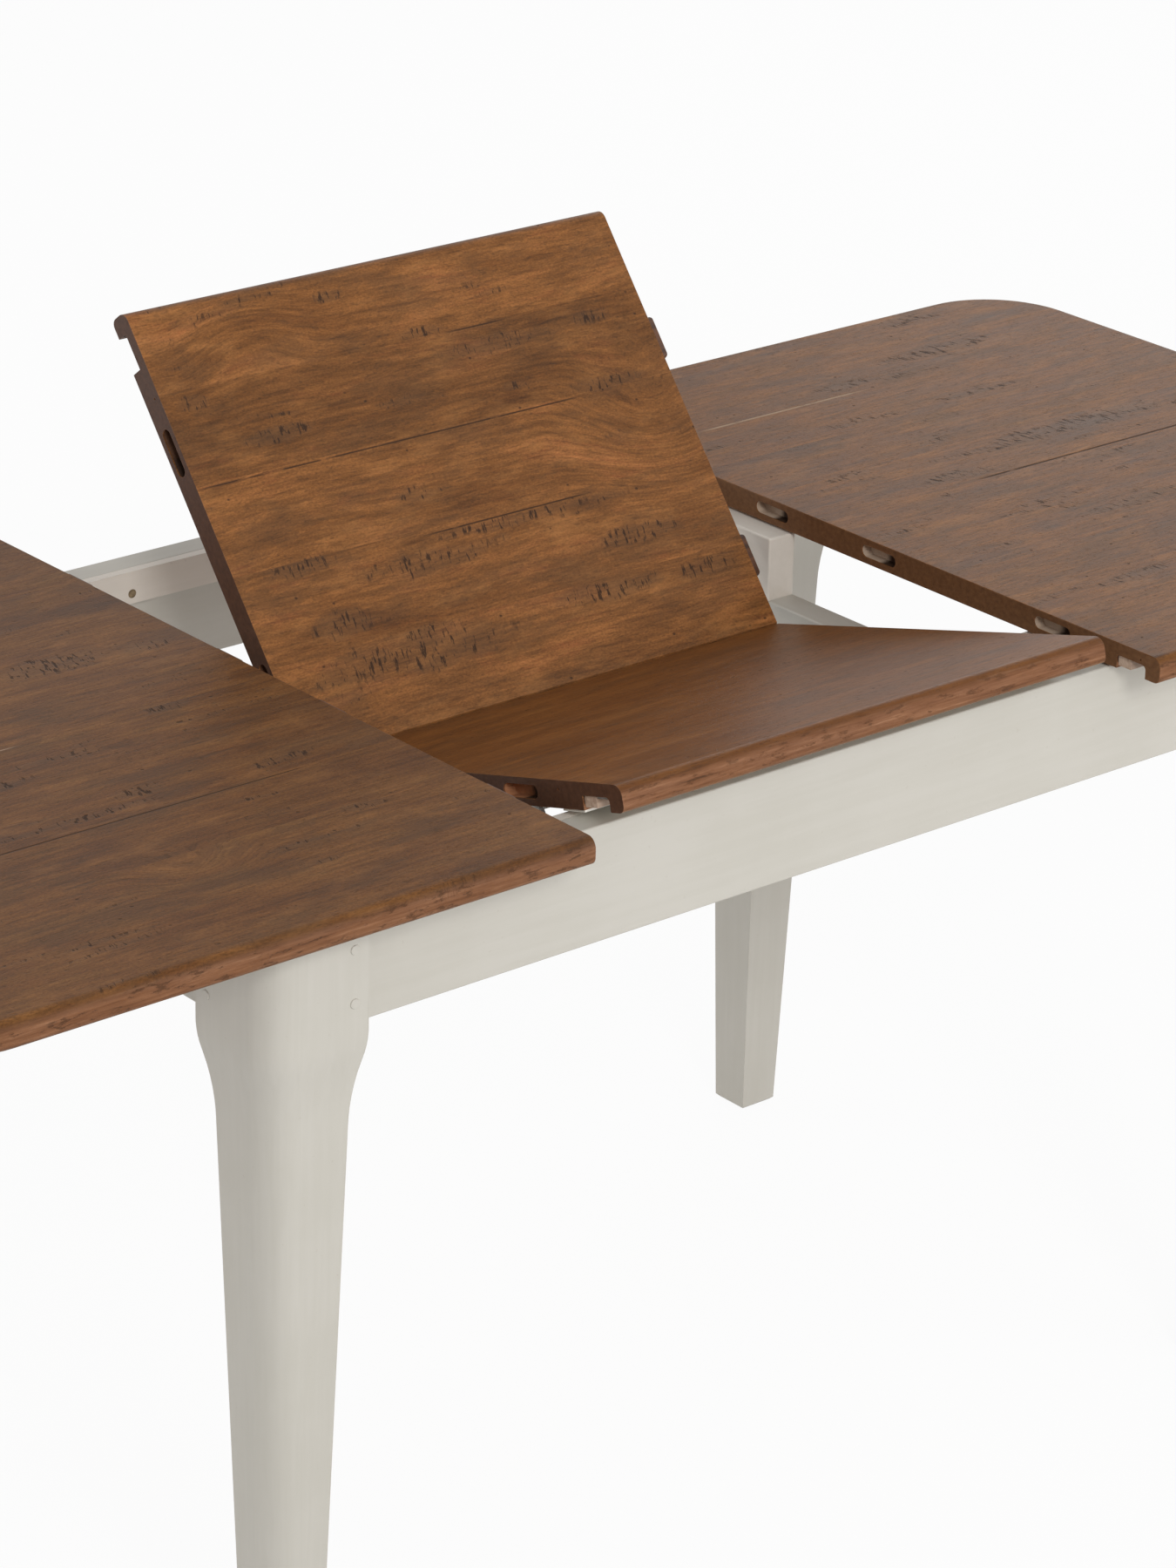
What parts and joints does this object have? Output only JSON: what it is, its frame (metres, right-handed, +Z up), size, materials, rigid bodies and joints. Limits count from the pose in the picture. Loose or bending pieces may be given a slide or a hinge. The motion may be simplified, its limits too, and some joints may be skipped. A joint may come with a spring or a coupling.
{
  "type": "extending butterfly leaf dining table",
  "caption": "Extending dining table with a painted tapered-leg frame, sliding distressed wood tops and a folding butterfly leaf between them.",
  "frame": {"origin": "on the floor under the middle of the table", "axes": "+X along the table towards the top with the slots, -Y towards the front long side, +Z up"},
  "size_m": [1.794, 0.8, 0.9715],
  "materials": {
    "top_wood": "waxed, distressed and saw-marked",
    "tongue_wood": "bare hardwood",
    "inner_wood": "bare hardwood",
    "frame_paint": "painted, satin warm off-white",
    "zinc_steel": "zinc plated",
    "hinge_steel": "aged bronze colour",
    "nylon": "natural nylon"
  },
  "bodies": {
    "frame": {"leg_front_left": "frame_paint", "leg_front_right": "frame_paint", "leg_rear_left": "frame_paint", "leg_rear_right": "frame_paint", "corner_block_front_left": "inner_wood", "corner_block_front_right": "inner_wood", "corner_block_rear_left": "inner_wood", "corner_block_rear_right": "inner_wood", "tenon_pegs": "frame_paint", "leg_bolts": "zinc_steel", "leg_bolt_washers": "zinc_steel", "leg_bolt_nuts": "zinc_steel", "foot_glides": "nylon", "apron_front": "frame_paint", "apron_rear": "frame_paint", "apron_left": "frame_paint", "apron_right": "frame_paint", "bearer_rail_front": "frame_paint", "bearer_rail_rear": "frame_paint", "bearer_screws": "zinc_steel", "cross_rail_left": "frame_paint", "cross_rail_right": "frame_paint", "rail_block_left_front": "frame_paint", "rail_block_left_rear": "frame_paint", "rail_block_right_front": "frame_paint", "rail_block_right_rear": "frame_paint", "pivot_plate_left": "zinc_steel", "pivot_plate_right": "zinc_steel", "pivot_plate_screws": "zinc_steel", "angle_brackets": "zinc_steel", "slide_pads": "nylon"},
    "top_left": {"top_panel_left": "top_wood", "guide_batten_left_front": "inner_wood", "guide_batten_left_rear": "inner_wood", "guide_screws_left": "zinc_steel", "groove_strips_top_left": "inner_wood", "tongues_top_left": "tongue_wood"},
    "top_right": {"top_panel_right": "top_wood", "guide_batten_right_front": "inner_wood", "guide_batten_right_rear": "inner_wood", "guide_screws_right": "zinc_steel", "groove_strips_top_right": "inner_wood"},
    "leaf_front": {"leaf_panel_front": "top_wood", "tongues_leaf_front": "tongue_wood", "hinge_leaves_front": "hinge_steel", "hinge_pins": "hinge_steel", "leaf_bracket_left": "zinc_steel", "leaf_bracket_right": "zinc_steel", "leaf_pivot_pins": "zinc_steel", "leaf_bracket_screws": "zinc_steel", "groove_strip_leaf_front": "inner_wood", "groove_bar_leaf_front": "zinc_steel", "rest_strip_leaf_front": "nylon"},
    "leaf_rear": {"leaf_panel_rear": "top_wood", "tongues_leaf_rear": "tongue_wood", "hinge_leaves_rear": "hinge_steel", "groove_strip_leaf_rear": "inner_wood", "groove_bar_leaf_rear": "zinc_steel", "rest_strip_leaf_rear": "nylon"}
  },
  "joints": [
    {"name": "top_left_slide", "type": "slide", "parent": "frame", "child": "top_left", "axis": [-1, 0, 0], "range_m": [-0.031, 0.008]},
    {"name": "top_right_slide", "type": "slide", "parent": "frame", "child": "top_right", "axis": [1, 0, 0], "range_m": [-0.031, 0.008]},
    {"name": "leaf_swing", "type": "hinge", "parent": "frame", "child": "leaf_front", "pos_m": [0, -0.306, 0.6725], "axis": [1, 0, 0], "range_deg": [-7.14, 15.9]},
    {"name": "leaf_fold", "type": "hinge", "parent": "leaf_front", "child": "leaf_rear", "pos_m": [0, 0.00903, 0.66147], "axis": [1, 0, 0], "range_deg": [-67.3, 30]}
  ],
  "couplings": [
    {"joint": "leaf_swing", "follows": "leaf_fold", "ratio": -0.23626}
  ]
}
